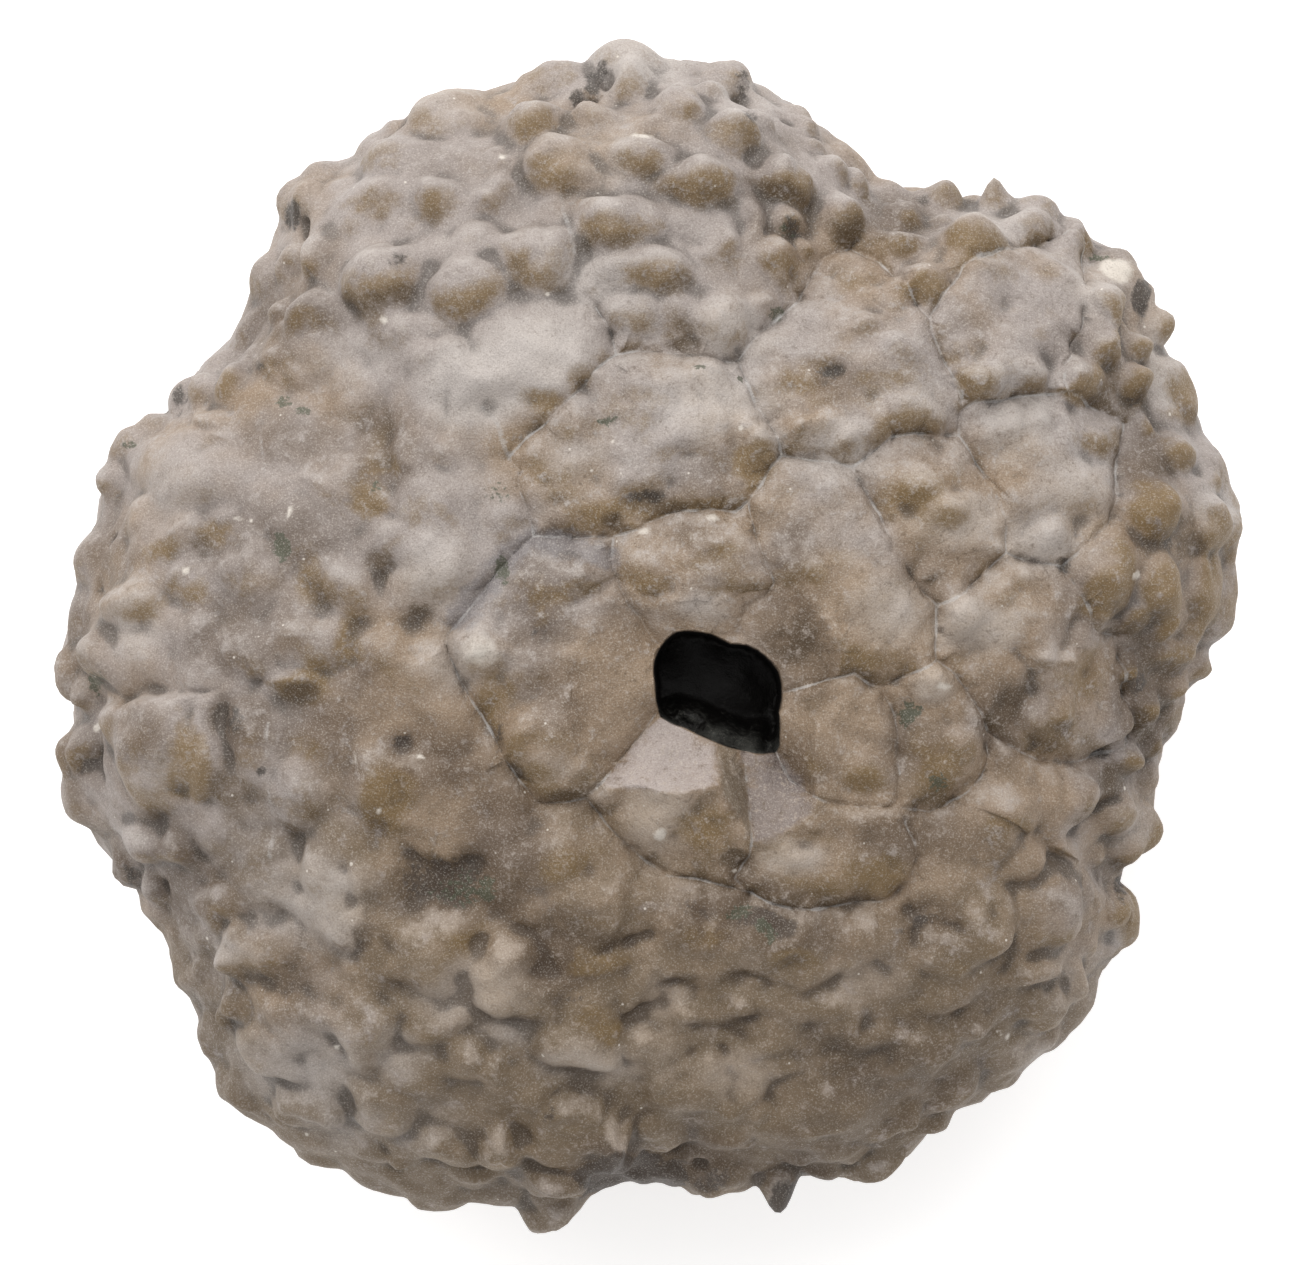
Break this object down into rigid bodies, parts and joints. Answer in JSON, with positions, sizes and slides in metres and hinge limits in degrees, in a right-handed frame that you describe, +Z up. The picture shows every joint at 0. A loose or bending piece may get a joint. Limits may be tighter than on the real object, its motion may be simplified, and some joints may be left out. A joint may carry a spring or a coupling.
{
  "type": "fossil crinoid",
  "caption": "Fossil sea lily calyx: a low dome of knobbly stone plates with a small opening near its top, five lobes at the rim and a shallow cup beneath.",
  "frame": {"origin": "under the middle of the calyx, on the surface it rests on", "axes": "+Z up through the dome with the opening, the cup and stem scar below; +X and +Y lie in the rim plane, with the opening's long side near +X"},
  "size_m": [0.0356, 0.0356, 0.0178],
  "materials": {
    "calyx": "dull mauve-grey to ochre limestone, matt, with darker sediment in the hollows"
  },
  "bodies": {
    "root": {"calyx": "calyx"}
  },
  "joints": []
}
